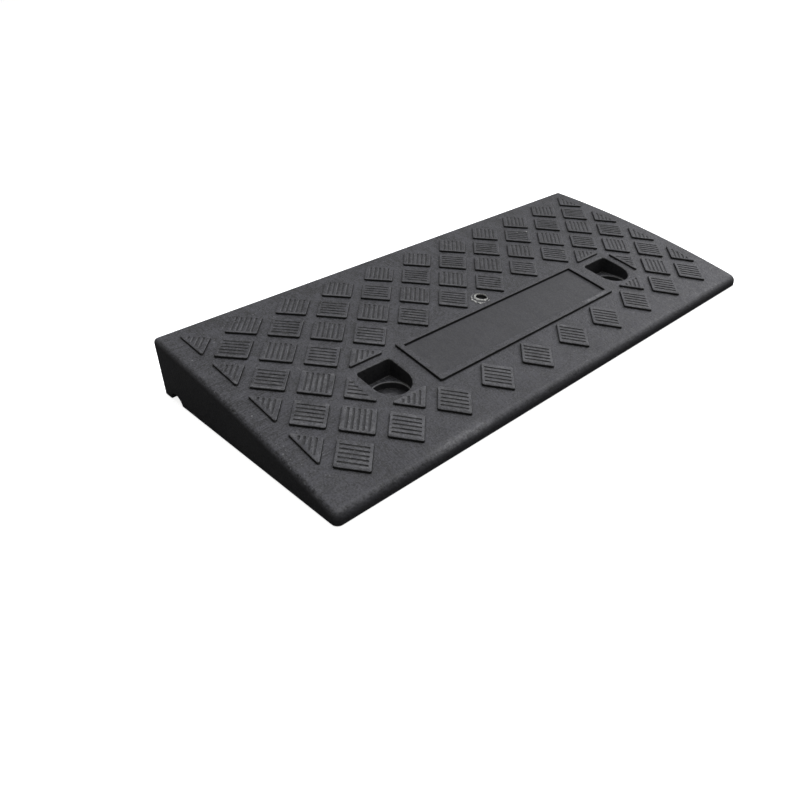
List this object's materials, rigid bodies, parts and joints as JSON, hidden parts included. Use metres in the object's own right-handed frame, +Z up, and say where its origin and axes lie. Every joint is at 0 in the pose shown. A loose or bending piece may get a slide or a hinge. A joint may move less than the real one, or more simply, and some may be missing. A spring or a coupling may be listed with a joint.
{
  "type": "portable wheelchair threshold ramp",
  "caption": "Low wedge ramp with a cambered diamond-tread deck, blank name plate, two recessed bolt pockets and rubber buttons underneath, for kerbs and door thresholds.",
  "frame": {"origin": "on the ground, at the centre of the rectangular footprint", "axes": "+X along the kerb, +Y from the low edge towards the kerb face, +Z up"},
  "size_m": [0.5, 0.22, 0.05],
  "materials": {
    "ramp_plastic": "matte, faintly streaked recycled plastic, near black",
    "plate_plastic": "smooth matte, near black",
    "washer_steel": "dark phosphated steel, worn at the edge",
    "bush_steel": "zinc plated",
    "foot_rubber": "matte black"
  },
  "bodies": {
    "root": {"ramp_body": "ramp_plastic", "name_plate": "plate_plastic", "seat_washer_left": "washer_steel", "seat_washer_right": "washer_steel", "bolt_bush_left": "bush_steel", "bolt_bush_right": "bush_steel", "foot_pad_front_left": "foot_rubber", "foot_pad_front_middle": "foot_rubber", "foot_pad_front_right": "foot_rubber", "foot_pad_back_left": "foot_rubber", "foot_pad_back_middle": "foot_rubber", "foot_pad_back_right": "foot_rubber"}
  },
  "joints": []
}
